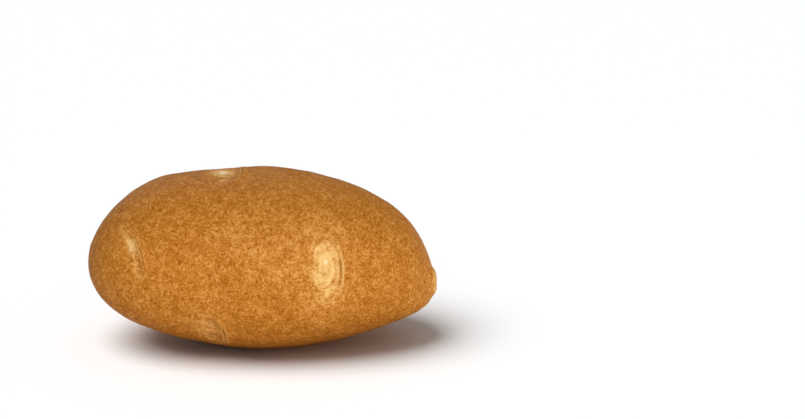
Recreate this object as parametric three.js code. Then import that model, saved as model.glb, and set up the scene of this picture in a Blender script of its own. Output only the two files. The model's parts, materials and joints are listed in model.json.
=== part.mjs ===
// A whole russet-type potato as lifted and washed: one solid tuber that lies on a small flat spot.
// Millimetres. +X runs along the tuber to its stem end, -Y is the side seen from the front, +Z is up.
// The origin is on the surface it lies on, under the middle of its bounding box.
import * as THREE from "three";
import { mergeVertices } from "three/addons/utils/BufferGeometryUtils.js";

// Driving dimensions of the whole tuber.
const LENGTH = 120;
const WIDTH = 71;
const HEIGHT = 61;
// How far the flat spot is pressed into the round of the belly.
const REST_PRESS = 0.6;

// The lengthwise form. A station runs from -1 at the bud end to 1 at the stem end.
// Each end is blunter than an ellipse by a share that grows between two stations.
const BUD_BLUNTNESS = { share: 0.1, from: 0.2, to: 0.8 };
const STEM_BLUNTNESS = { share: 0.03, from: 0.6, to: 0.95 };
// The stem end hangs: an even fall from the middle, and a sharper one close to the tip.
const STEM_FALL = 1.6;
const STEM_NOD = 8.2;
const STEM_NOD_POWER = 7;
// The back is a little humped behind the bud end, whose own tip nods too.
const BUD_RISE = 1.8;
const BUD_RISE_STATION = -0.63;
const BUD_RISE_SPREAD = 0.24;
const BUD_NOD = 1.4;
const BUD_NOD_POWER = 8;
// Seen from above the tuber bends sideways, by a wave of this height, turn and start.
const SWAY = 1.8;
const SWAY_TURN = 1.4;
const SWAY_START = 0.6;
// Cross-sections are ellipses drawn a little towards a rounded box.
const SECTION_POWER = 2.16;

// Broad swells and flats, as waves that cross the tuber.
const SWELL_HEIGHT = 0.1;
const SWELL_LENGTH = 60;
const SWELL_LENGTH_SPREAD = 0.3;
const SWELL_COUNT = 7;
const SWELL_SEED = 11;

// An eye is a shallow hollow with a raised brow on its stem side and a low bud in the middle.
const HOLLOW_ALONG = 3.3;
const HOLLOW_AROUND = 5.6;
const HOLLOW_DEPTH = 1.25;
const BROW_OFFSET = 5.2;
const BROW_BEND = 3.0;
const BROW_REACH = 8.5;
const BROW_HEIGHT = 1.0;
const BROW_THICKNESS = 1.25;
const BUD_RADIUS = 1.5;
const BUD_HEIGHT = 0.7;
const EYE_REACH = 22;

// Eyes climb from the stem end to the bud end in a spiral: each turns on by this angle and
// goes a quarter of the way that is left. Turns are degrees up from the front.
const EYE_TURN = -137.5;
const EYE_CLOSING = 0.75;
const FIRST_EYE = { station: 0.37, turn: 10 };
const HIDDEN_EYES = [
  { step: -1, size: 0.7, lean: 9 },
  { step: 1, size: 1, lean: -8 },
  { step: 4, size: 0.95, lean: 10 },
  { step: 6, size: 0.8, lean: -14 },
  { step: 7, size: 0.7, lean: 6 },
  { step: 9, size: 0.6, lean: -5 },
];
// The eyes on the front wander a little off that spiral, as they grew. A lean, in degrees, turns
// an eye on its own middle.
const FRONT_EYES = [
  { station: 0.4, turn: 12, size: 1, lean: 3 },
  { station: -0.172, turn: 91, size: 0.95, lean: 0 },
  { station: -0.255, turn: -39, size: 0.95, lean: 8 },
  { station: -0.705, turn: 18, size: 0.9, lean: 17 },
];
// The last bud sits in a dimple just off the bud end's tip.
const END_BUD = { station: -0.985, turn: 140, size: 0.55, lean: 0 };

// The scar of the stolon: a low collar round a pit, on the stem end's tip. The collar stands
// highest on its upper side, and by a share of that height less on its lower one.
const SCAR = { station: 0.995, turn: 30, size: 1, lean: 0 };
const SCAR_RADIUS = 4.4;
const SCAR_EDGE = 0.4;
const SCAR_OPENING = 0.2;
const SCAR_HEIGHT = 1.3;
const SCAR_PIT_RADIUS = 1.4;
const SCAR_PIT_DEPTH = 0.9;

// Mesh density: a sphere's facets, evened out along the tuber, then split in a few passes at the
// eyes and the scar. There no edge is over the fine length, and edges grow with the way from them.
const SPHERE_DETAIL = 14;
const POLE_SPREAD = 0.17;
const SPLIT_PASSES = 2;
const FINE_EDGE = 1.2;
const FINE_REACH = 5.0;
const FINE_REACH_ROUND = 7.1;
const EDGE_GROWTH = 0.75;

const SKIN_COLOUR = 0xb9752f;

const smoothstep = THREE.MathUtils.smoothstep;
const bell = (distance, width) => Math.exp(-0.5 * (distance / width) ** 2);

// A repeatable stream of numbers from 0 to 1.
function seeded(seed) {
  let state = seed;
  return () => {
    state = (state * 16807) % 2147483647;
    return state / 2147483647;
  };
}

// The point of the unit sphere that stands for a station and a turn about the tuber's axis.
function direction({ station, turn }) {
  const ring = Math.sqrt(1 - station ** 2);
  const angle = THREE.MathUtils.degToRad(turn);
  return new THREE.Vector3(station, -ring * Math.cos(angle), ring * Math.sin(angle));
}

function spiralEye({ step, size, lean }) {
  const left = (1 + FIRST_EYE.station) * EYE_CLOSING ** step;
  return { station: Math.min(left - 1, 0.8), turn: FIRST_EYE.turn + EYE_TURN * step, size, lean };
}

const EYES = [...FRONT_EYES, ...HIDDEN_EYES.map(spiralEye), END_BUD];

// How much fuller than an ellipse the tuber is at a station.
function fullness(station) {
  const blunting = (way, { share, from, to }) => share * smoothstep(way, from, to);
  return 1 + blunting(-station, BUD_BLUNTNESS) + blunting(station, STEM_BLUNTNESS);
}

// How far the section's centre lies under the axis at a station.
function droop(station) {
  const stem = Math.max(station, 0);
  const bud = Math.max(-station, 0);
  const stemFall = STEM_FALL * stem + STEM_NOD * stem ** STEM_NOD_POWER;
  const budFall = BUD_NOD * bud ** BUD_NOD_POWER;
  return stemFall + budFall - BUD_RISE * bell(station - BUD_RISE_STATION, BUD_RISE_SPREAD);
}

// The smooth body's point for a point of the unit sphere.
function bodyPoint(p) {
  const angle = Math.atan2(p.z, p.y);
  const c = Math.abs(Math.cos(angle)) ** SECTION_POWER;
  const s = Math.abs(Math.sin(angle)) ** SECTION_POWER;
  const boxy = (c + s) ** (-1 / SECTION_POWER);
  const full = fullness(p.x) * boxy;
  return new THREE.Vector3(
    (LENGTH / 2) * p.x,
    (WIDTH / 2) * full * p.y + SWAY * Math.sin(SWAY_TURN * p.x + SWAY_START),
    (HEIGHT / 2) * full * p.z - droop(p.x),
  );
}

// A frame on the body's surface: "along" points to the stem end and "around" runs across it.
function surfaceFrame(place) {
  const step = 0.01;
  const p = direction(place);
  const centre = bodyPoint(p);
  const side = new THREE.Vector3().crossVectors(p, new THREE.Vector3(1, 0, 0)).normalize();
  const forward = new THREE.Vector3().crossVectors(side, p).normalize();
  const near = (v) => bodyPoint(p.clone().addScaledVector(v, step).normalize()).sub(centre);
  const normal = new THREE.Vector3().crossVectors(near(side), near(forward)).normalize();
  if (normal.dot(p) < 0) normal.negate();
  const lean = THREE.MathUtils.degToRad(place.lean);
  const along = near(forward).normalize().applyAxisAngle(normal, lean);
  const around = new THREE.Vector3().crossVectors(normal, along).normalize();
  return { centre, along, around, size: place.size };
}

// Where a point lies in a frame, in the lengths of a full-sized eye.
function placeIn(frame, point) {
  const offset = point.clone().sub(frame.centre).divideScalar(frame.size);
  return { along: offset.dot(frame.along), around: offset.dot(frame.around), away: offset.length() };
}

// Spaces the sphere's vertices evenly along the long tuber.
function evened(p) {
  const polar = Math.acos(THREE.MathUtils.clamp(p.x, -1, 1));
  const moved = polar + POLE_SPREAD * Math.sin(2 * polar);
  const ring = Math.hypot(p.y, p.z);
  const stretch = ring > 1e-6 ? Math.sin(moved) / ring : 0;
  return new THREE.Vector3(Math.cos(moved), p.y * stretch, p.z * stretch);
}

// The longest edge that the mesh may have at a point of the body.
function longestEdge(point, frames) {
  const edges = frames.map((frame) => {
    const { along, around, away } = placeIn(frame, point);
    if (away > EYE_REACH) return Infinity;
    const reach = Math.hypot((along - BROW_OFFSET / 2) / FINE_REACH, around / FINE_REACH_ROUND);
    return FINE_EDGE + EDGE_GROWTH * frame.size * Math.max(0, reach - 1) * FINE_REACH;
  });
  return Math.min(...edges);
}

// Cuts a triangle by the points on its edges a-b, b-c and c-a, where an edge has one.
function cutTriangle([a, b, c], [ab, bc, ca]) {
  const cuts = [ab, bc, ca].filter((middle) => middle !== null).length;
  if (cuts === 0) return [[a, b, c]];
  if (cuts === 3) return [[a, ab, ca], [ab, b, bc], [ca, bc, c], [ab, bc, ca]];
  if (ab === null || (cuts === 2 && bc === null)) return cutTriangle([b, c, a], [bc, ca, ab]);
  if (cuts === 1) return [[a, ab, c], [ab, b, c]];
  return [[a, ab, c], [ab, bc, c], [ab, b, bc]];
}

// Gives each edge that is too long a middle point, which the triangles on both its sides share.
function splitOnce(points, faces, frames) {
  const middles = new Map();
  const middleOf = (a, b) => {
    const key = `${Math.min(a, b)} ${Math.max(a, b)}`;
    if (!middles.has(key)) {
      const halfway = points[a].clone().add(points[b]).normalize();
      const length = bodyPoint(points[a]).distanceTo(bodyPoint(points[b]));
      const long = length > longestEdge(bodyPoint(halfway), frames);
      middles.set(key, long ? points.push(halfway) - 1 : null);
    }
    return middles.get(key);
  };
  const cut = ([a, b, c]) => cutTriangle([a, b, c], [middleOf(a, b), middleOf(b, c), middleOf(c, a)]);
  return faces.flatMap(cut);
}

// The smooth body as an indexed geometry, with its vertices where the relief needs them.
function bodyGeometry(frames) {
  const sphere = new THREE.IcosahedronGeometry(1, SPHERE_DETAIL);
  sphere.deleteAttribute("normal");
  sphere.deleteAttribute("uv");
  const merged = mergeVertices(sphere, 1e-5);
  const place = merged.getAttribute("position");
  const corner = merged.getIndex().array;
  const points = [];
  for (let i = 0; i < place.count; i++) {
    points.push(evened(new THREE.Vector3().fromBufferAttribute(place, i).normalize()));
  }
  let faces = [];
  for (let i = 0; i < corner.length; i += 3) faces.push([corner[i], corner[i + 1], corner[i + 2]]);
  for (let pass = 0; pass < SPLIT_PASSES; pass++) faces = splitOnce(points, faces, frames);

  const geometry = new THREE.BufferGeometry().setFromPoints(points.map(bodyPoint));
  geometry.setIndex(faces.flat());
  geometry.computeVertexNormals();
  return geometry;
}

// The waves that make the broad swells.
function swellWaves() {
  const random = seeded(SWELL_SEED);
  return Array.from({ length: SWELL_COUNT }, () => {
    const heading = new THREE.Vector3(random() - 0.5, random() - 0.5, random() - 0.5).normalize();
    const length = SWELL_LENGTH * (1 + SWELL_LENGTH_SPREAD * (2 * random() - 1));
    return { wave: heading.multiplyScalar((2 * Math.PI) / length), phase: 2 * Math.PI * random() };
  });
}

function swell(point, waves) {
  return waves.reduce((sum, w) => sum + SWELL_HEIGHT * Math.sin(point.dot(w.wave) + w.phase), 0);
}

// How far an eye raises or sinks the skin at a point.
function eyeRelief(point, frame) {
  const { along, around, away } = placeIn(frame, point);
  if (away > EYE_REACH) return 0;
  const hollow = HOLLOW_DEPTH * bell(along, HOLLOW_ALONG) * bell(around, HOLLOW_AROUND);
  const browLine = BROW_OFFSET - BROW_BEND * (around / BROW_REACH) ** 2;
  const fade = Math.exp(-((around / BROW_REACH) ** 4));
  const brow = BROW_HEIGHT * bell(along - browLine, BROW_THICKNESS) * fade;
  const bud = BUD_HEIGHT * bell(Math.hypot(along, around), BUD_RADIUS);
  return frame.size * (brow + bud - hollow);
}

// How far the stolon's scar raises or sinks the skin at a point.
function scarRelief(point, frame) {
  const distance = point.distanceTo(frame.centre);
  const { along } = placeIn(frame, point);
  const inner = SCAR_RADIUS * (1 - SCAR_EDGE);
  const outer = SCAR_RADIUS * (1 + SCAR_EDGE);
  const height = SCAR_HEIGHT * (1 - SCAR_OPENING * smoothstep(along, -SCAR_RADIUS, SCAR_RADIUS));
  const collar = height * (1 - smoothstep(distance, inner, outer));
  const pit = SCAR_PIT_DEPTH * bell(distance, SCAR_PIT_RADIUS);
  return collar - pit;
}

// The tuber's skin, at its real size, pressed flat where it lies.
function tuberGeometry() {
  const eyes = EYES.map(surfaceFrame);
  const scar = surfaceFrame(SCAR);
  const waves = swellWaves();
  const geometry = bodyGeometry([...eyes, scar]);
  const place = geometry.getAttribute("position");
  const normals = geometry.getAttribute("normal");
  for (let i = 0; i < place.count; i++) {
    const point = new THREE.Vector3().fromBufferAttribute(place, i);
    const normal = new THREE.Vector3().fromBufferAttribute(normals, i);
    const relief = eyes.reduce((sum, eye) => sum + eyeRelief(point, eye), 0);
    const raise = swell(point, waves) + relief + scarRelief(point, scar);
    point.addScaledVector(normal, raise);
    place.setXYZ(i, point.x, point.y, point.z);
  }

  // Brings the body to the driving dimensions, and its lowest point below the resting surface.
  geometry.computeBoundingBox();
  const size = geometry.boundingBox.getSize(new THREE.Vector3());
  geometry.scale(LENGTH / size.x, WIDTH / size.y, (HEIGHT + REST_PRESS) / size.z);
  geometry.computeBoundingBox();
  const centre = geometry.boundingBox.getCenter(new THREE.Vector3());
  geometry.translate(-centre.x, -centre.y, -geometry.boundingBox.min.z - REST_PRESS);
  for (let i = 0; i < place.count; i++) {
    if (place.getZ(i) < 0) place.setZ(i, 0);
  }
  geometry.computeVertexNormals();
  return geometry;
}

const skin = new THREE.MeshStandardMaterial({ color: SKIN_COLOUR, roughness: 0.6, metalness: 0 });
const potato = new THREE.Mesh(tuberGeometry(), skin);
potato.name = "potato";

const part = new THREE.Group();
part.add(potato);

export default part;
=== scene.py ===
"""A whole potato: its solid is copied, rounded off, given the fine relief of its eyes and stem scar
and a netted skin, and set on a pale floor in soft studio light. Sizes are in metres."""

import json
import math

import bpy
import numpy as np
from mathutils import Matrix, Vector

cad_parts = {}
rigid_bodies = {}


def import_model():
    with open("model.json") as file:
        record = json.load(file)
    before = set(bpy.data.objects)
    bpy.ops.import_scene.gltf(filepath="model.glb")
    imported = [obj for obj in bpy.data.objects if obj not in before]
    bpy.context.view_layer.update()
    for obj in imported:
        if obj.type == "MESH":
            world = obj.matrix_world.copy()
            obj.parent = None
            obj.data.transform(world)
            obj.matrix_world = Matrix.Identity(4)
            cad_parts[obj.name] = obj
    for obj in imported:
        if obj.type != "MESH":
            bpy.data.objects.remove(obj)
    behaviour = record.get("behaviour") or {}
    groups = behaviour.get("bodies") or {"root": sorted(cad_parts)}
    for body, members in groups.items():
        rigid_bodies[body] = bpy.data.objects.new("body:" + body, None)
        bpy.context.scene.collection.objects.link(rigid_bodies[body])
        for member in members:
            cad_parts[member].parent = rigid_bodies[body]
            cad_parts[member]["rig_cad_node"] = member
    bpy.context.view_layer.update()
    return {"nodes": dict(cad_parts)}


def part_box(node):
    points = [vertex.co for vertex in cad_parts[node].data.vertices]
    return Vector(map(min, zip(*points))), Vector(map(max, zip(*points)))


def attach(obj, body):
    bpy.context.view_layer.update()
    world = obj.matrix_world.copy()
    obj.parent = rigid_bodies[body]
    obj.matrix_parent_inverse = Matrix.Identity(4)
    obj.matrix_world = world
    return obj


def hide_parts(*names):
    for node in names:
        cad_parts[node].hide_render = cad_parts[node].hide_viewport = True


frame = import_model()

bl_info = {
    "name": "Potato",
    "version": (1, 0, 0),
    "blender": (4, 5, 0),
    "location": "3D View > Sidebar > Potato",
    "description": "Gives the solid potato its skin, eyes and stem scar, and a plain studio",
    "category": "Object",
}

SOLID = "potato"
TUBER = "tuber"
MM = 0.001

# The solid's smooth body, in millimetres, as its own source draws it. A station runs from -1 at the
# bud end to 1 at the stem end, and a turn is in degrees up from the front.
LENGTH = 120
WIDTH = 71
HEIGHT = 61
BUD_BLUNTNESS = (0.1, 0.2, 0.8)
STEM_BLUNTNESS = (0.03, 0.6, 0.95)
STEM_FALL = 1.6
STEM_NOD = 8.2
STEM_NOD_POWER = 7
BUD_RISE = 1.8
BUD_RISE_STATION = -0.63
BUD_RISE_SPREAD = 0.24
BUD_NOD = 1.4
BUD_NOD_POWER = 8
SWAY = 1.8
SWAY_TURN = 1.4
SWAY_START = 0.6
SECTION_POWER = 2.16
# What brings that body to the solid's box and onto the floor.
FITTED_SCALE = Vector((0.98770, 0.99830, 0.99359))
FITTED_SHIFT = Vector((-0.418, -0.816, 29.746))

# The spiral of the eyes. An eye whose step takes it past the limit stands on it.
FIRST_STATION = 0.37
FIRST_TURN = 10
EYE_TURN = -137.5
EYE_CLOSING = 0.75
STATION_LIMIT = 0.8

# Where the furrow under an eye's brow runs, in millimetres from the middle of a full-sized eye.
FURROW_OFFSET = 4.35
FURROW_BEND = 1.0
FURROW_REACH = 8.5
FURROW_WIDTH = 0.24
# The lips beside it, and the shares of its reach where it and they fade.
LIP_OFFSET = 0.8
LIP_WIDTH = 0.3
FURROW_FADE = 0.5
LIP_FADE = 0.75
# The bud's tip, whose cream colour is partly a painted glint, and a small pit on its other side, which is
# only painted shade.
BUD_SPOT = (-0.3, 2.8)
BUD_WIDTH = 0.6
PIT_SPOT = (-0.95, -1.4)
PIT_WIDTH = 0.45
# How far from its middle an eye is felt, and what stands for an offset further away.
EYE_REACH = 22
OUT_OF_REACH = 99
# What a patch's field is where no patch is near.
NO_PATCH = -3.0

# Corners of facets this close are merged, in metres. The lumps and puckers fade in between two
# heights over the floor. Weights up to the least are left out.
MERGE_DISTANCE = 1e-6
CLEAR_OF_FLOOR = (0.5 * MM, 4 * MM)
LEAST_WEIGHT = 0.004

# Sizes of the skin's patterns, in metres. Noise of the drift's size pushes the grain about, and
# noise of the waver's size the net and the pores.
CLOUD_SIZE = 0.024
MOTTLE_SIZE = 0.0065
SPECKLE_SIZE = 0.0024
GRAIN_SIZE = 0.0008
DRIFT_SIZE = 0.0055
DRIFT_REACH = 0.0045
WAVER_SIZE = 0.0019
WAVER_REACH = 0.0012
THREAD_FIELD_SIZE = 0.0028
HOLLOW_FIELD_SIZE = 0.0036
PORE_SPACING = 0.0075
# Painted shade: the skin is darkest below the first of these heights, and no darker above the second.
UNDERSIDE_SHADE = (0.006, 0.028)

# What each pattern adds to the skin's tone, or takes from it. Above 0 the skin is pale, below it dark.
GRAIN_TONE = 3.4
SPECKLE_TONE = 0.8
MOTTLE_TONE = 0.38
CLOUD_TONE = 0.25
THREAD_TONE = 0.35
HOLLOW_TONE = 0.45
RUBBED_AND_HIGHLIGHT_TONE = 0.17
NEAR_PATCH_TONE = 0.2
UNDERSIDE_SHADE_TONE = 0.17

# The most that each mark takes of the skin's colour.
PATCH_SHARE = 0.78
SCAR_SHARE = 0.5
LOOP_SHARE = 0.18
WHITENED_SHARE = 0.6
LIP_SHARE = 0.55
FURROW_SHADE_SHARE = 0.35
PIT_SHADE_SHARE = 0.5
BUD_TIP_GLINT_SHARE = 0.5

# The depth of the skin's fine bumps, and the size and depth of the floor's, in metres.
SKIN_BUMP = 0.00012
PAPER_SIZE = 0.004
PAPER_BUMP = 0.0002

# The height of the point that the camera's aim is moved from, and its sensor's width in millimetres.
AIM_HEIGHT = 0.031
SENSOR_WIDTH = 36


class Patch:
    """A pale patch in an eye: its middle, half width and half length in the eye, its lean and strength."""

    def __init__(self, along, around, width, length, lean=0, strength=1.0):
        self.along = along
        self.around = around
        self.width = width
        self.length = length
        self.lean = math.radians(lean)
        self.strength = strength

    def field(self, along, around):
        """The strength in the middle, 0 at the edge, and below 0 outside, where a weak one falls as fast."""
        right = along - self.along
        up = around - self.around
        across = right * math.cos(self.lean) + up * math.sin(self.lean)
        down = up * math.cos(self.lean) - right * math.sin(self.lean)
        inside = 1 - np.hypot(across / self.width, down / self.length)
        return inside * np.where(inside > 0, self.strength, max(self.strength, 1))


# The patch of an eye that has none of its own.
PLAIN_PATCH = Patch(-1.0, 0.5, 3.2, 7.5, strength=0.8)


class Place:
    """A place on the skin, with the pale patches of the eye that is there."""

    def __init__(self, station, turn, size, lean=0, patches=(PLAIN_PATCH,), bud=0.5):
        self.size = size
        self.patches = patches
        self.bud = bud
        self.find_frame(station, turn, math.radians(lean))

    def find_frame(self, station, turn, lean):
        """Finds the middle, and the directions along the tuber to its stem end and around it."""
        step = 0.01
        p = direction(station, turn)
        side = p.cross(Vector((1, 0, 0))).normalized()
        forward = side.cross(p).normalized()
        self.centre = body_point(p)
        to_side = body_point((p + side * step).normalized()) - self.centre
        to_stem = body_point((p + forward * step).normalized()) - self.centre
        self.normal = to_side.cross(to_stem).normalized()
        if self.normal.dot(p) < 0:
            self.normal.negate()
        level = to_stem.normalized()
        self.along = level * math.cos(lean) + self.normal.cross(level) * math.sin(lean)
        self.around = self.normal.cross(self.along).normalized()

    def offsets(self, points, reach=EYE_REACH):
        """How far points lie along, around and away from the middle, in a full-sized eye's millimetres."""
        away = (points / MM - np.array(self.centre)) / self.size
        distance = np.linalg.norm(away, axis=1)
        along = away @ np.array(self.along)
        around = away @ np.array(self.around)
        outside = (distance > reach) | (away @ np.array(self.normal) < -reach / 2)
        along = np.where(outside, OUT_OF_REACH, along)
        around = np.where(outside, OUT_OF_REACH, around)
        return along, around, distance


def smoothstep(value, start, end):
    t = np.clip((value - start) / (end - start), 0, 1)
    return t * t * (3 - 2 * t)


def bell(distance, width):
    return np.exp(-0.5 * (distance / width) ** 2)


def direction(station, turn):
    """The point of the unit sphere that stands for a station and a turn."""
    ring = math.sqrt(1 - station**2)
    angle = math.radians(turn)
    return Vector((station, -ring * math.cos(angle), ring * math.sin(angle)))


def droop(station):
    """How far the section's middle lies under the axis."""
    stem = max(station, 0)
    bud = max(-station, 0)
    fall = STEM_FALL * stem + STEM_NOD * stem**STEM_NOD_POWER + BUD_NOD * bud**BUD_NOD_POWER
    return fall - BUD_RISE * bell(station - BUD_RISE_STATION, BUD_RISE_SPREAD)


def body_point(p):
    """The smooth body's point for a point of the unit sphere, in millimetres."""
    angle = math.atan2(p.z, p.y)
    c = abs(math.cos(angle)) ** SECTION_POWER
    s = abs(math.sin(angle)) ** SECTION_POWER
    full = (c + s) ** (-1 / SECTION_POWER)
    bud_share, bud_from, bud_to = BUD_BLUNTNESS
    stem_share, stem_from, stem_to = STEM_BLUNTNESS
    bud_blunting = bud_share * smoothstep(-p.x, bud_from, bud_to)
    stem_blunting = stem_share * smoothstep(p.x, stem_from, stem_to)
    full *= 1 + bud_blunting + stem_blunting
    point = Vector((
        LENGTH / 2 * p.x,
        WIDTH / 2 * full * p.y + SWAY * math.sin(SWAY_TURN * p.x + SWAY_START),
        HEIGHT / 2 * full * p.z - droop(p.x),
    ))
    return point * FITTED_SCALE + FITTED_SHIFT


def spiral_eye(step, size, lean):
    """An eye that has the place in the spiral which its step gives."""
    left = (1 + FIRST_STATION) * EYE_CLOSING**step
    return Place(min(left - 1, STATION_LIMIT), FIRST_TURN + EYE_TURN * step, size, lean)


FRONT_PATCHES = (Patch(-0.45, 0.4, 6.3, 12.8),)
TOP_PATCHES = (
    Patch(-2.8, 2.4, 5.0, 7.0, strength=1.7),
    Patch(-2.9, -7.6, 2.0, 2.0, strength=0.6),
)
LOW_PATCHES = (Patch(-1.3, 1.0, 4.0, 9.6, 13.5, 0.12),)
BUD_END_PATCHES = (
    Patch(-1.9, 10.4, 2.4, 2.9, strength=0.4),
    Patch(0.5, 3.9, 2.5, 5.6, 8, 1.0),
    Patch(0, -5, 2.2, 3.4, -12, 0.22),
)
SCAR_RIM_LIGHT_PATCH = Patch(5, -5, 7.5, 15, strength=0.6)

EYES = (
    # The front eye right of the middle, the top one, the low one and the one near the bud end.
    Place(0.4, 12, 1, 3, FRONT_PATCHES, 1),
    Place(-0.172, 91, 0.95, 0, TOP_PATCHES, 0),
    Place(-0.255, -39, 0.95, 8, LOW_PATCHES, 0.15),
    Place(-0.705, 18, 0.9, 17, BUD_END_PATCHES, 0.2),
    # The unseen ones go on in the spiral.
    spiral_eye(-1, 0.7, 9),
    spiral_eye(1, 1.0, -8),
    spiral_eye(4, 0.95, 10),
    spiral_eye(6, 0.8, -14),
    spiral_eye(7, 0.7, 6),
    spiral_eye(9, 0.6, -5),
    # The last bud, just off the bud end's tip.
    Place(-0.985, 140, 0.55),
)
# The stem scar, which fades out between two distances from its middle. Below it the skin is painted pale as
# reflected light on the stem end's lower rim, and more of that lies to the back.
SCAR = Place(0.995, 30, 1, patches=(SCAR_RIM_LIGHT_PATCH,))
SCAR_FADE = (3.0, 6.0)
# Where the skin is speckled paler. The first, on the front's middle, is a painted highlight where the key
# light falls, about 32 mm long and 20 mm wide where it is half as strong as in its middle; the second, on
# the back, is rubbed skin, 37 mm long and 23 mm wide.
RUBBED_AND_HIGHLIGHT = (
    Place(0.09, 24, 1, -4),
    Place(-0.2, 200, 1.15, 15),
)
RUBBED_AND_HIGHLIGHT_LENGTH = 19
RUBBED_AND_HIGHLIGHT_WIDTH = 12
RUBBED_AND_HIGHLIGHT_FADE = (0.3, 1.4)
RUBBED_AND_HIGHLIGHT_REACH = 40


class PotatoTuberSettings(bpy.types.PropertyGroup):
    cuts: bpy.props.IntProperty(
        name="Cuts",
        description="Cuts across each facet of the solid",
        default=3,
        min=0,
        max=4,
    )
    rounding: bpy.props.IntProperty(
        name="Rounding",
        description="Passes that round the solid's facets off",
        default=16,
        min=0,
    )
    lump_size: bpy.props.FloatProperty(
        name="Lump size",
        description="Width of the gentle lumps under the skin",
        default=0.013,
        unit="LENGTH",
    )
    lump_height: bpy.props.FloatProperty(
        name="Lump height",
        description="Height of the gentle lumps under the skin",
        default=0.0005,
        unit="LENGTH",
        precision=5,
    )
    pucker_size: bpy.props.FloatProperty(
        name="Pucker size",
        description="Width of the small puckers in the skin",
        default=0.0035,
        unit="LENGTH",
        precision=5,
    )
    pucker_height: bpy.props.FloatProperty(
        name="Pucker height",
        description="Height of the small puckers in the skin",
        default=0.00012,
        unit="LENGTH",
        precision=5,
    )
    press: bpy.props.FloatProperty(
        name="Press",
        description="How far the flat spot is pressed into the belly again, after the lumps",
        default=0.00015,
        unit="LENGTH",
        precision=5,
    )


class PotatoEyeSettings(bpy.types.PropertyGroup):
    furrow_depth: bpy.props.FloatProperty(
        name="Furrow depth",
        description="Depth of the thin furrow that splits an eye's brow in two",
        default=0.0004,
        unit="LENGTH",
        precision=5,
    )
    lip_height: bpy.props.FloatProperty(
        name="Lip height",
        description="Height of the thin lips beside that furrow",
        default=0.00025,
        unit="LENGTH",
        precision=5,
    )
    bud_height: bpy.props.FloatProperty(
        name="Bud height",
        description="How far the bud's tip stands up in the eye",
        default=0.0003,
        unit="LENGTH",
        precision=5,
    )


class PotatoSkinSettings(bpy.types.PropertyGroup):
    skin_colour: bpy.props.FloatVectorProperty(
        name="Skin",
        description="The skin between its cracks and flecks",
        default=(0.358, 0.122, 0.0125),
        subtype="COLOR",
        min=0,
        max=1,
    )
    crack_colour: bpy.props.FloatVectorProperty(
        name="Cracks",
        description="The fine cracks and dark flecks of the net",
        default=(0.175, 0.044, 0.002),
        subtype="COLOR",
        min=0,
        max=1,
    )
    fleck_colour: bpy.props.FloatVectorProperty(
        name="Pale flecks",
        description="The pale flecks of the net",
        default=(0.57, 0.265, 0.066),
        subtype="COLOR",
        min=0,
        max=1,
    )
    patch_colour: bpy.props.FloatVectorProperty(
        name="Eye patch",
        description="The pale skin in the eyes and on the stem scar",
        default=(0.66, 0.41, 0.145),
        subtype="COLOR",
        min=0,
        max=1,
    )
    bud_colour: bpy.props.FloatVectorProperty(
        name="Bud",
        description="The pale tip of the bud in an eye",
        default=(0.90, 0.76, 0.52),
        subtype="COLOR",
        min=0,
        max=1,
    )
    net_size: bpy.props.FloatProperty(
        name="Net size",
        description="Width of a mesh of the skin's net",
        default=0.0011,
        unit="LENGTH",
        precision=5,
    )
    roughness: bpy.props.FloatProperty(
        name="Roughness",
        description="How dull the washed skin is",
        default=0.5,
        subtype="FACTOR",
        min=0,
        max=1,
    )


class PotatoStageSettings(bpy.types.PropertyGroup):
    elevation: bpy.props.FloatProperty(
        name="Camera elevation",
        description="How far above the horizon the camera stands",
        default=math.radians(16),
        subtype="ANGLE",
    )
    distance: bpy.props.FloatProperty(
        name="Camera distance",
        description="From the camera to the point it is aimed at",
        default=0.8,
        unit="LENGTH",
    )
    lens: bpy.props.FloatProperty(
        name="Lens",
        description="Focal length on a 36 mm wide sensor, in millimetres",
        default=103.7,
        subtype="DISTANCE_CAMERA",
    )
    aim_right: bpy.props.FloatProperty(
        name="Aim right",
        description="How far right of the potato the camera is aimed",
        default=0.0481,
        unit="LENGTH",
    )
    aim_up: bpy.props.FloatProperty(
        name="Aim up",
        description="How far up in the picture the camera is aimed",
        default=0.0151,
        unit="LENGTH",
    )
    floor_colour: bpy.props.FloatVectorProperty(
        name="Floor",
        description="The pale floor",
        default=(0.9, 0.9, 0.9),
        subtype="COLOR",
        min=0,
        max=1,
    )
    key_strength: bpy.props.FloatProperty(
        name="Key light",
        description="Strength of the soft light on the potato's front",
        default=3.25,
    )
    back_strength: bpy.props.FloatProperty(
        name="Back light",
        description="Strength of the soft light on the potato's back",
        default=1.0,
    )
    edge_strength: bpy.props.FloatProperty(
        name="Edge light",
        description="Strength of the low light on the potato's stem end",
        default=1.1,
    )
    floor_strength: bpy.props.FloatProperty(
        name="Floor light",
        description="Strength of the light on the floor, which casts the potato's shadow",
        default=3.0,
    )
    room_size: bpy.props.FloatProperty(
        name="Room size",
        description="From the potato to the backdrop around it",
        default=8,
        unit="LENGTH",
    )
    room_colour: bpy.props.FloatVectorProperty(
        name="Room",
        description="The cool light that fills the shadows",
        default=(0.93, 0.97, 1.0),
        subtype="COLOR",
        min=0,
        max=1,
    )
    room_strength: bpy.props.FloatProperty(
        name="Room light",
        description="Brightness of the pale room around the potato",
        default=0.28,
    )


def choose(piece):
    """Makes a piece the only one that is selected."""
    bpy.ops.object.select_all(action="DESELECT")
    piece.select_set(True)
    bpy.context.view_layer.objects.active = piece


def apply_modifier(piece, kind, **settings):
    """Adds a modifier with its settings, and applies it."""
    modifier = piece.modifiers.new(kind.title(), kind)
    for name, value in settings.items():
        setattr(modifier, name, value)
    choose(piece)
    bpy.ops.object.modifier_apply(modifier=modifier.name)


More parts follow.
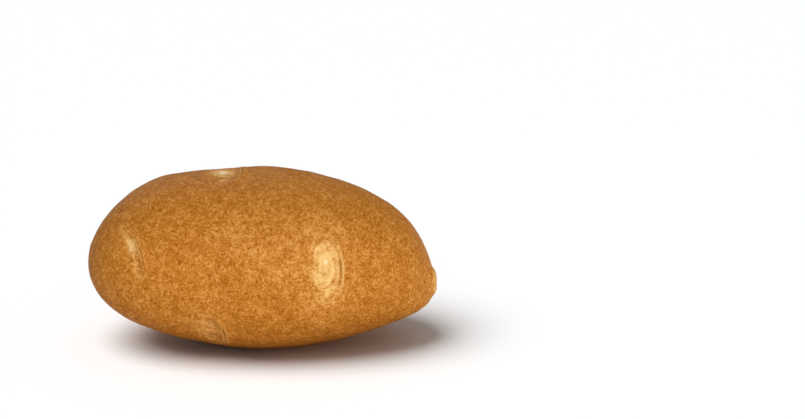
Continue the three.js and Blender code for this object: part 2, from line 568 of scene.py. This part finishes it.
def points_of(piece):
    """The places of a piece's vertices, a row for each."""
    places = np.zeros(len(piece.data.vertices) * 3, np.float32)
    piece.data.vertices.foreach_get("co", places)
    return places.reshape(-1, 3).astype(float)


def weigh(piece, name, weights):
    """Gives a piece a vertex group with these weights."""
    group = piece.vertex_groups.new(name=name)
    for index in np.nonzero(weights > LEAST_WEIGHT)[0]:
        group.add([int(index)], float(weights[index]), "REPLACE")
    return group.name


def mark(piece, name, values):
    """Stores a value for each vertex, which the material reads by its name."""
    attribute = piece.data.attributes.new(name, "FLOAT", "POINT")
    attribute.data.foreach_set("value", values.astype(np.float32))


def lumps(name, size, depth):
    """A cloud texture with lumps of a size."""
    texture = bpy.data.textures.new(name, "CLOUDS")
    texture.noise_scale = size
    texture.noise_depth = depth
    return texture


class POTATO_OT_tuber(bpy.types.Operator):
    """Copies the solid, merges its facets into one closed skin and rounds them off"""

    bl_idname = "potato.tuber"
    bl_label = "Tuber"

    def execute(self, context):
        look = context.scene.potato_tuber
        choose(frame["nodes"][SOLID])
        bpy.ops.object.duplicate()
        tuber = context.view_layer.objects.active
        tuber.name = TUBER
        tuber.data.name = TUBER
        del tuber["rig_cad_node"]
        tuber.data.materials.clear()
        choose(tuber)
        bpy.ops.object.mode_set(mode="EDIT")
        bpy.ops.mesh.select_all(action="SELECT")
        bpy.ops.mesh.customdata_custom_splitnormals_clear()
        bpy.ops.mesh.remove_doubles(threshold=MERGE_DISTANCE)
        bpy.ops.mesh.subdivide(number_cuts=look.cuts)
        bpy.ops.object.mode_set(mode="OBJECT")
        bpy.ops.object.shade_smooth()
        apply_modifier(tuber, "SMOOTH", factor=0.5, iterations=look.rounding)

        clear = weigh(tuber, "clear of the floor", smoothstep(points_of(tuber)[:, 2], *CLEAR_OF_FLOOR))
        for name, size, height in (
            ("lumps", look.lump_size, look.lump_height),
            ("puckers", look.pucker_size, look.pucker_height),
        ):
            apply_modifier(
                tuber,
                "DISPLACE",
                texture=lumps(name, size, 1),
                texture_coords="LOCAL",
                strength=height,
                mid_level=0.5,
                vertex_group=clear,
            )
        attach(tuber, "root")
        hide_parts(SOLID)
        return {"FINISHED"}


class POTATO_OT_eyes(bpy.types.Operator):
    """Adds the fine relief of the eyes, marks the eyes and the stem scar for the skin, then presses the flat
    spot again
    """

    bl_idname = "potato.eyes"
    bl_label = "Eyes and stem scar"

    def execute(self, context):
        look = context.scene.potato_eyes
        tuber = bpy.data.objects[TUBER]
        points = points_of(tuber)
        count = len(points)
        patch = np.full(count, NO_PATCH)
        furrow = np.zeros(count)
        lips = np.zeros(count)
        bud = np.zeros(count)
        pit_shade = np.zeros(count)
        for eye in EYES:
            along, around, _ = eye.offsets(points)
            for pale in eye.patches:
                patch = np.maximum(patch, pale.field(along, around))
            from_furrow = along - FURROW_OFFSET + FURROW_BEND * (around / FURROW_REACH) ** 2
            fade = np.exp(-((around / (LIP_FADE * FURROW_REACH)) ** 4))
            short = np.exp(-((around / (FURROW_FADE * FURROW_REACH)) ** 4))
            furrow = np.maximum(furrow, eye.size * short * bell(from_furrow, FURROW_WIDTH))
            lips = np.maximum(lips, eye.size * fade * bell(np.abs(from_furrow) - LIP_OFFSET, LIP_WIDTH))
            from_bud = np.hypot(along - BUD_SPOT[0], around - BUD_SPOT[1])
            from_pit = np.hypot(along - PIT_SPOT[0], around - PIT_SPOT[1])
            bud = np.maximum(bud, eye.bud * bell(from_bud, BUD_WIDTH))
            pit_shade = np.maximum(pit_shade, eye.size * bell(from_pit, PIT_WIDTH))
        self.raise_skin(tuber, "brow lips", lips, look.lip_height)
        self.raise_skin(tuber, "buds", bud, look.bud_height)
        self.raise_skin(tuber, "brow furrows", furrow, -look.furrow_depth)
        # The first of these paints the key light's highlight paler on the front's middle; the second is
        # rubbed skin on the back.
        rubbed_and_highlight = np.zeros(count)
        for spot in RUBBED_AND_HIGHLIGHT:
            along, around, _ = spot.offsets(points, RUBBED_AND_HIGHLIGHT_REACH)
            from_middle = np.hypot(along / RUBBED_AND_HIGHLIGHT_LENGTH, around / RUBBED_AND_HIGHLIGHT_WIDTH)
            rubbed_and_highlight = np.maximum(rubbed_and_highlight, 1 - smoothstep(from_middle, *RUBBED_AND_HIGHLIGHT_FADE))
        # The pale patch below the stem scar is painted reflected light on the stem end's lower rim.
        along, around, from_scar = SCAR.offsets(points)
        patch = np.maximum(patch, SCAR_RIM_LIGHT_PATCH.field(along, around))
        mark(tuber, "eye_patch", patch)
        mark(tuber, "brow_furrow", furrow)
        mark(tuber, "brow_lip", lips)
        mark(tuber, "bud_spot", bud)
        mark(tuber, "bud_pit", pit_shade)
        mark(tuber, "rubbed_skin", rubbed_and_highlight)
        mark(tuber, "stem_scar", 1 - smoothstep(from_scar, *SCAR_FADE))
        self.settle(tuber, context.scene.potato_tuber.press)
        return {"FINISHED"}

    def raise_skin(self, tuber, name, weights, height):
        """Moves the skin along its normal by a height where the weights say."""
        apply_modifier(
            tuber, "DISPLACE", strength=height, mid_level=0, vertex_group=weigh(tuber, name, weights)
        )

    def settle(self, tuber, press):
        """Brings the skin to the solid's box, and flattens what lies under the floor."""
        low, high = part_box(SOLID)
        points = points_of(tuber)
        lowest = Vector(points.min(0))
        highest = Vector(points.max(0))
        wanted = high - low + Vector((0, 0, press))
        grown = [w / h for w, h in zip(wanted, highest - lowest)]
        choose(tuber)
        bpy.ops.object.mode_set(mode="EDIT")
        bpy.ops.mesh.select_all(action="SELECT")
        bpy.ops.transform.resize(value=grown, center_override=lowest)
        bpy.ops.transform.translate(value=low - lowest - Vector((0, 0, press)))
        bpy.ops.mesh.select_all(action="DESELECT")
        bpy.ops.object.mode_set(mode="OBJECT")
        tuber.data.vertices.foreach_set("select", points_of(tuber)[:, 2] < 0)
        bpy.ops.object.mode_set(mode="EDIT")
        bpy.ops.transform.resize(value=(1, 1, 0), center_override=(0, 0, 0))
        bpy.ops.object.mode_set(mode="OBJECT")


class Mask:
    """A node's output. Arithmetic on it adds Math nodes."""

    def __init__(self, nodes, source):
        self.nodes = nodes
        self.source = source

    def __add__(self, other):
        return self.nodes.maths("ADD", self, other)

    def __sub__(self, other):
        return self.nodes.maths("SUBTRACT", self, other)

    def __rsub__(self, other):
        return self.nodes.maths("SUBTRACT", other, self)

    def __mul__(self, other):
        return self.nodes.maths("MULTIPLY", self, other)

    __radd__ = __add__
    __rmul__ = __mul__


class Nodes:
    """The node tree of one material or world, which it empties first."""

    def __init__(self, owner):
        owner.use_nodes = True
        self.tree = owner.node_tree
        self.tree.nodes.clear()

    def add(self, kind, settings=(), sockets=(), output=0):
        """Adds a node, sets it up, gives its sockets values or links, and returns one of its outputs."""
        node = self.tree.nodes.new(kind)
        for name, value in dict(settings).items():
            setattr(node, name, value)
        for name, value in dict(sockets).items():
            if isinstance(value, Mask):
                self.tree.links.new(value.source, node.inputs[name])
            else:
                node.inputs[name].default_value = value
        return Mask(self, node.outputs[output]) if node.outputs else node

    def maths(self, operation, a, b=0.0, clamp=False):
        settings = {"operation": operation, "use_clamp": clamp}
        return self.add("ShaderNodeMath", settings, {0: a, 1: b})

    def vectors(self, operation, a, b=(0, 0, 0), scale=1.0):
        sockets = {0: a, 1: b} if operation != "SCALE" else {0: a, "Scale": scale}
        return self.add("ShaderNodeVectorMath", {"operation": operation}, sockets)

    def step(self, value, start, end):
        """Rises smoothly from 0 at start to 1 at end."""
        settings = {"interpolation_type": "SMOOTHSTEP"}
        return self.add("ShaderNodeMapRange", settings, {0: value, 1: start, 2: end})

    def mix(self, share, a, b):
        """Goes from colour a to colour b."""
        settings = {"data_type": "RGBA"}
        sockets = {0: share, 6: a, 7: b}
        return self.add("ShaderNodeMix", settings, sockets, 2)

    def noise(self, place, size, detail=2.0, roughness=0.5, output=0):
        """Noise with features of a size in metres."""
        sockets = {"Vector": place, "Scale": 1 / size, "Detail": detail, "Roughness": roughness}
        return self.add("ShaderNodeTexNoise", (), sockets, output)

    def pushed(self, place, size, reach):
        """The place, pushed about by noise of a size so that a pattern on it winds."""
        push = self.vectors("SUBTRACT", self.noise(place, size, 1, output=1), (0.5, 0.5, 0.5))
        return self.vectors("ADD", place, self.vectors("SCALE", push, scale=reach))

    def cells(self, place, size, feature="F1"):
        """The distance to the nearest cell's middle or edge, in cell widths."""
        sockets = {"Vector": place, "Scale": 1 / size}
        return self.add("ShaderNodeTexVoronoi", {"feature": feature}, sockets)

    def stored(self, name):
        """What the mesh stores under a name."""
        return self.add("ShaderNodeAttribute", {"attribute_name": name}, (), 2)


def opaque(colour):
    return (*colour, 1)


def skin_material(look):
    """Washed, netted skin, with pale speckled patches in the eyes and a corky stem scar."""
    material = bpy.data.materials.new("netted skin")
    n = Nodes(material)
    place = n.add("ShaderNodeTexCoord", output=3)

    # Soft clouds of darker and paler skin, the mottling on them, and the grain.
    clouds = n.noise(place, CLOUD_SIZE, 2) - 0.5
    mottle = n.noise(place, MOTTLE_SIZE, 3, 0.6) - 0.5
    speckle = n.noise(place, SPECKLE_SIZE, 2, 0.6) - 0.5
    grain = n.noise(n.pushed(place, DRIFT_SIZE, DRIFT_REACH), GRAIN_SIZE, 2, 0.7) - 0.5

    # The net: winding pale threads of cork, and darker skin in its meshes.
    wavering = n.pushed(place, WAVER_SIZE, WAVER_REACH)
    edge = n.cells(wavering, look.net_size, "DISTANCE_TO_EDGE")
    thread = 1 - n.step(edge, 0.02, 0.26)
    thread = thread * n.step(n.noise(place, THREAD_FIELD_SIZE, 2), 0.44, 0.6)
    mesh = n.cells(wavering, look.net_size * 1.1)
    hollow = 1 - n.step(mesh, 0.0, 0.4)
    hollow = hollow * n.step(n.noise(place, HOLLOW_FIELD_SIZE, 2) + clouds, 0.42, 0.62)

    # Small corky pores, far apart.
    pore = 1 - n.step(n.cells(wavering, PORE_SPACING), 0.03, 0.055)

    # How much paler or darker the skin is, by all of these, by where it is rubbed or painted paler as the
    # key light's highlight, by nearness to a patch, and by its height, which paints shade on the underside.
    tone = grain * GRAIN_TONE + speckle * SPECKLE_TONE + mottle * MOTTLE_TONE + clouds * CLOUD_TONE
    tone = tone + thread * THREAD_TONE - hollow * HOLLOW_TONE
    # Painted highlight: the front's middle is speckled paler where the key light falls.
    rubbed_and_highlight = n.stored("rubbed_skin")
    # The patches' field also holds the painted reflected light below the stem scar.
    field = n.stored("eye_patch")
    tone = tone + rubbed_and_highlight * (speckle * 0.9 + mottle * 0.5 + RUBBED_AND_HIGHLIGHT_TONE)
    tone = tone + n.step(field, -1.5, 0.4) * NEAR_PATCH_TONE
    # Painted shade: the skin is darkened towards the floor.
    height_up = n.add("ShaderNodeSeparateXYZ", (), {"Vector": place}, 2)
    tone = tone - (1 - n.step(height_up, *UNDERSIDE_SHADE)) * UNDERSIDE_SHADE_TONE
    pale = n.maths("MAXIMUM", tone, 0, clamp=True)
    dark = n.maths("MAXIMUM", tone * -1, pore * 0.8, clamp=True)
    colour = n.mix(dark, opaque(look.skin_colour), opaque(look.crack_colour))
    colour = n.mix(pale, colour, opaque(look.fleck_colour))

    # The eyes' patches have soft, speckled edges, and faint loops run round them.
    loose = field + speckle * 1.1 + mottle * 0.7 + grain * 0.9
    patch = n.step(loose, -0.3, 0.7)
    loops = n.maths("SINE", (field + mottle * 0.35) * 22)
    near_patch = n.step(loose, -0.75, -0.1) * (1 - n.step(loose, 0.7, 1.1))
    loops = loops * near_patch
    scar = n.step(n.stored("stem_scar") + grain * 0.8, 0.3, 0.8)
    patch_share = n.maths("MAXIMUM", patch * PATCH_SHARE, scar * SCAR_SHARE) + loops * LOOP_SHARE
    patch_share = n.maths("ADD", patch_share, patch * (speckle * 0.5 + grain * 0.8), clamp=True)
    palest = n.maths("MAXIMUM", patch * patch, scar * 0.8)
    pale_skin = n.mix(palest, opaque(look.fleck_colour), opaque(look.patch_colour))
    colour = n.mix(patch_share, colour, pale_skin)
    whitened = n.step(field + speckle * 0.7, 0.9, 1.5)
    colour = n.mix(whitened * WHITENED_SHARE, colour, opaque(look.bud_colour))
    lip_colour = n.mix(n.step(field, -0.8, 0.2), opaque(look.fleck_colour), opaque(look.patch_colour))
    colour = n.mix(n.stored("brow_lip") * LIP_SHARE, colour, lip_colour)
    # Painted shade: the brow furrows and the bud pits are darkened towards the cracks' colour.
    shade = n.maths("MAXIMUM", n.stored("brow_furrow") * FURROW_SHADE_SHARE, n.stored("bud_pit") * PIT_SHADE_SHARE)
    colour = n.mix(shade, colour, opaque(look.crack_colour))
    # The bud's tip is painted cream, partly as a painted glint on it.
    colour = n.mix(n.stored("bud_spot") * BUD_TIP_GLINT_SHARE, colour, opaque(look.bud_colour))

    roughness = look.roughness + mottle * 0.2 + patch * 0.1
    height = thread * 0.4 - hollow * 0.3 + grain * 0.9 + speckle * 0.5 + mottle * 0.7
    height = height - pore * 0.6 + loops * 0.12
    bump = n.add("ShaderNodeBump", (), {"Strength": 0.7, "Distance": SKIN_BUMP, "Height": height})
    shader = n.add(
        "ShaderNodeBsdfPrincipled",
        (),
        {
            "Base Color": colour,
            "Roughness": roughness,
            "Normal": bump,
            "IOR": 1.45,
            "Specular IOR Level": 0.02,
        },
    )
    n.add("ShaderNodeOutputMaterial", (), {"Surface": shader})
    return material


class POTATO_OT_skin(bpy.types.Operator):
    """Gives the tuber its netted skin"""

    bl_idname = "potato.skin"
    bl_label = "Skin"

    def execute(self, context):
        tuber = bpy.data.objects[TUBER]
        tuber.data.materials.append(skin_material(context.scene.potato_skin))
        return {"FINISHED"}


class POTATO_OT_stage(bpy.types.Operator):
    """Adds the pale floor, the soft lights and the camera"""

    bl_idname = "potato.stage"
    bl_label = "Stage"

    def execute(self, context):
        look = context.scene.potato_stage
        floor = self.add_floor(look)
        tuber = bpy.data.objects[TUBER]
        self.add_room(context.scene, look)
        # A name, strength, spread, azimuth and elevation in degrees, and what the light reaches.
        for light in (
            ("key light", look.key_strength, 40, 12, 30, tuber),
            ("back light", look.back_strength, 50, -160, 35, tuber),
            ("edge light", look.edge_strength, 30, 112, -12, tuber),
            ("floor light", look.floor_strength, 50, -66, 64, floor),
        ):
            self.add_sun(*light)
        self.add_camera(context.scene, look)
        context.scene.view_settings.view_transform = "Standard"
        return {"FINISHED"}

    def add_floor(self, look):
        bpy.ops.mesh.primitive_circle_add(vertices=96, radius=look.room_size, fill_type="NGON")
        floor = bpy.context.view_layer.objects.active
        floor.name = "floor"
        material = bpy.data.materials.new("pale floor")
        n = Nodes(material)
        place = n.add("ShaderNodeTexCoord", output=3)
        paper = n.noise(place, PAPER_SIZE, 3) - 0.5
        bump = n.add("ShaderNodeBump", (), {"Strength": 0.1, "Distance": PAPER_BUMP, "Height": paper})
        shader = n.add(
            "ShaderNodeBsdfPrincipled",
            (),
            {
                "Base Color": opaque(look.floor_colour),
                "Roughness": 0.9,
                "Specular IOR Level": 0.1,
                "Normal": bump,
            },
        )
        n.add("ShaderNodeOutputMaterial", (), {"Surface": shader})
        floor.data.materials.append(material)
        return floor

    def add_room(self, scene, look):
        """A dim even light from all round, and a pale backdrop that only the camera sees."""
        world = bpy.data.worlds.new("pale room")
        scene.world = world
        n = Nodes(world)
        sockets = {"Color": opaque(look.room_colour), "Strength": look.room_strength}
        light = n.add("ShaderNodeBackground", (), sockets)
        n.add("ShaderNodeOutputWorld", (), {"Surface": light})

        bpy.ops.mesh.primitive_uv_sphere_add(segments=64, ring_count=32, radius=look.room_size)
        backdrop = bpy.context.view_layer.objects.active
        backdrop.name = "backdrop"
        material = bpy.data.materials.new("pale backdrop")
        n = Nodes(material)
        shader = n.add("ShaderNodeEmission", (), {"Color": opaque(look.floor_colour), "Strength": 1.0})
        n.add("ShaderNodeOutputMaterial", (), {"Surface": shader})
        backdrop.data.materials.append(material)
        backdrop.visible_diffuse = False
        backdrop.visible_glossy = False
        backdrop.visible_shadow = False

    def add_sun(self, name, strength, spread, azimuth, elevation, lit):
        """Adds a soft far light for one object. Azimuth 0 is the front, and 90 the stem end's side."""
        bpy.ops.object.light_add(type="SUN", location=(0, 0, 1))
        sun = bpy.context.view_layer.objects.active
        sun.name = name
        sun.data.energy = strength
        sun.data.angle = math.radians(spread)
        towards = self.bearing(math.radians(azimuth), math.radians(elevation))
        sun.rotation_euler = towards.to_track_quat("Z", "Y").to_euler()
        self.link_light(sun, lit)

    def link_light(self, sun, lit):
        """Lets a light reach one object alone, with no shadow but the potato's on it."""
        receivers = bpy.data.collections.new(sun.name + " on")
        receivers.objects.link(lit)
        sun.light_linking.receiver_collection = receivers
        blockers = bpy.data.collections.new(sun.name + " behind")
        blockers.objects.link(bpy.data.objects[TUBER])
        sun.light_linking.blocker_collection = blockers

    def bearing(self, azimuth, elevation):
        flat = math.cos(elevation)
        return Vector((math.sin(azimuth) * flat, -math.cos(azimuth) * flat, math.sin(elevation)))

    def add_camera(self, scene, look):
        back = self.bearing(0, look.elevation)
        up = Vector((0, math.sin(look.elevation), math.cos(look.elevation)))
        aim = Vector((look.aim_right, 0, AIM_HEIGHT)) + up * look.aim_up
        turned = back.to_track_quat("Z", "Y").to_euler()
        bpy.ops.object.camera_add(location=aim + back * look.distance, rotation=turned)
        camera = bpy.context.view_layer.objects.active
        camera.name = "camera"
        camera.data.lens = look.lens
        camera.data.sensor_width = SENSOR_WIDTH
        scene.camera = camera


class POTATO_PT_parts(bpy.types.Panel):
    """Lists what the potato is made of"""

    bl_label = "Potato"
    bl_idname = "POTATO_PT_parts"
    bl_space_type = "VIEW_3D"
    bl_region_type = "UI"
    bl_category = "Potato"

    def draw(self, context):
        for step, group in STEPS:
            box = self.layout.box()
            box.operator(step.bl_idname)
            settings = getattr(context.scene, group)
            for name in settings.bl_rna.properties.keys():
                if name not in ("rna_type", "name"):
                    box.prop(settings, name)


SETTINGS = (
    ("potato_tuber", PotatoTuberSettings),
    ("potato_eyes", PotatoEyeSettings),
    ("potato_skin", PotatoSkinSettings),
    ("potato_stage", PotatoStageSettings),
)
STEPS = (
    (POTATO_OT_tuber, "potato_tuber"),
    (POTATO_OT_eyes, "potato_eyes"),
    (POTATO_OT_skin, "potato_skin"),
    (POTATO_OT_stage, "potato_stage"),
)


def register():
    for name, group in SETTINGS:
        bpy.utils.register_class(group)
        setattr(bpy.types.Scene, name, bpy.props.PointerProperty(type=group))
    for step, _ in STEPS:
        bpy.utils.register_class(step)
    bpy.utils.register_class(POTATO_PT_parts)


def unregister():
    bpy.utils.unregister_class(POTATO_PT_parts)
    for step, _ in reversed(STEPS):
        bpy.utils.unregister_class(step)
    for name, group in reversed(SETTINGS):
        delattr(bpy.types.Scene, name)
        bpy.utils.unregister_class(group)


def main():
    register()
    bpy.ops.potato.tuber()
    bpy.ops.potato.eyes()
    bpy.ops.potato.skin()
    bpy.ops.potato.stage()


if __name__ == "__main__":
    main()
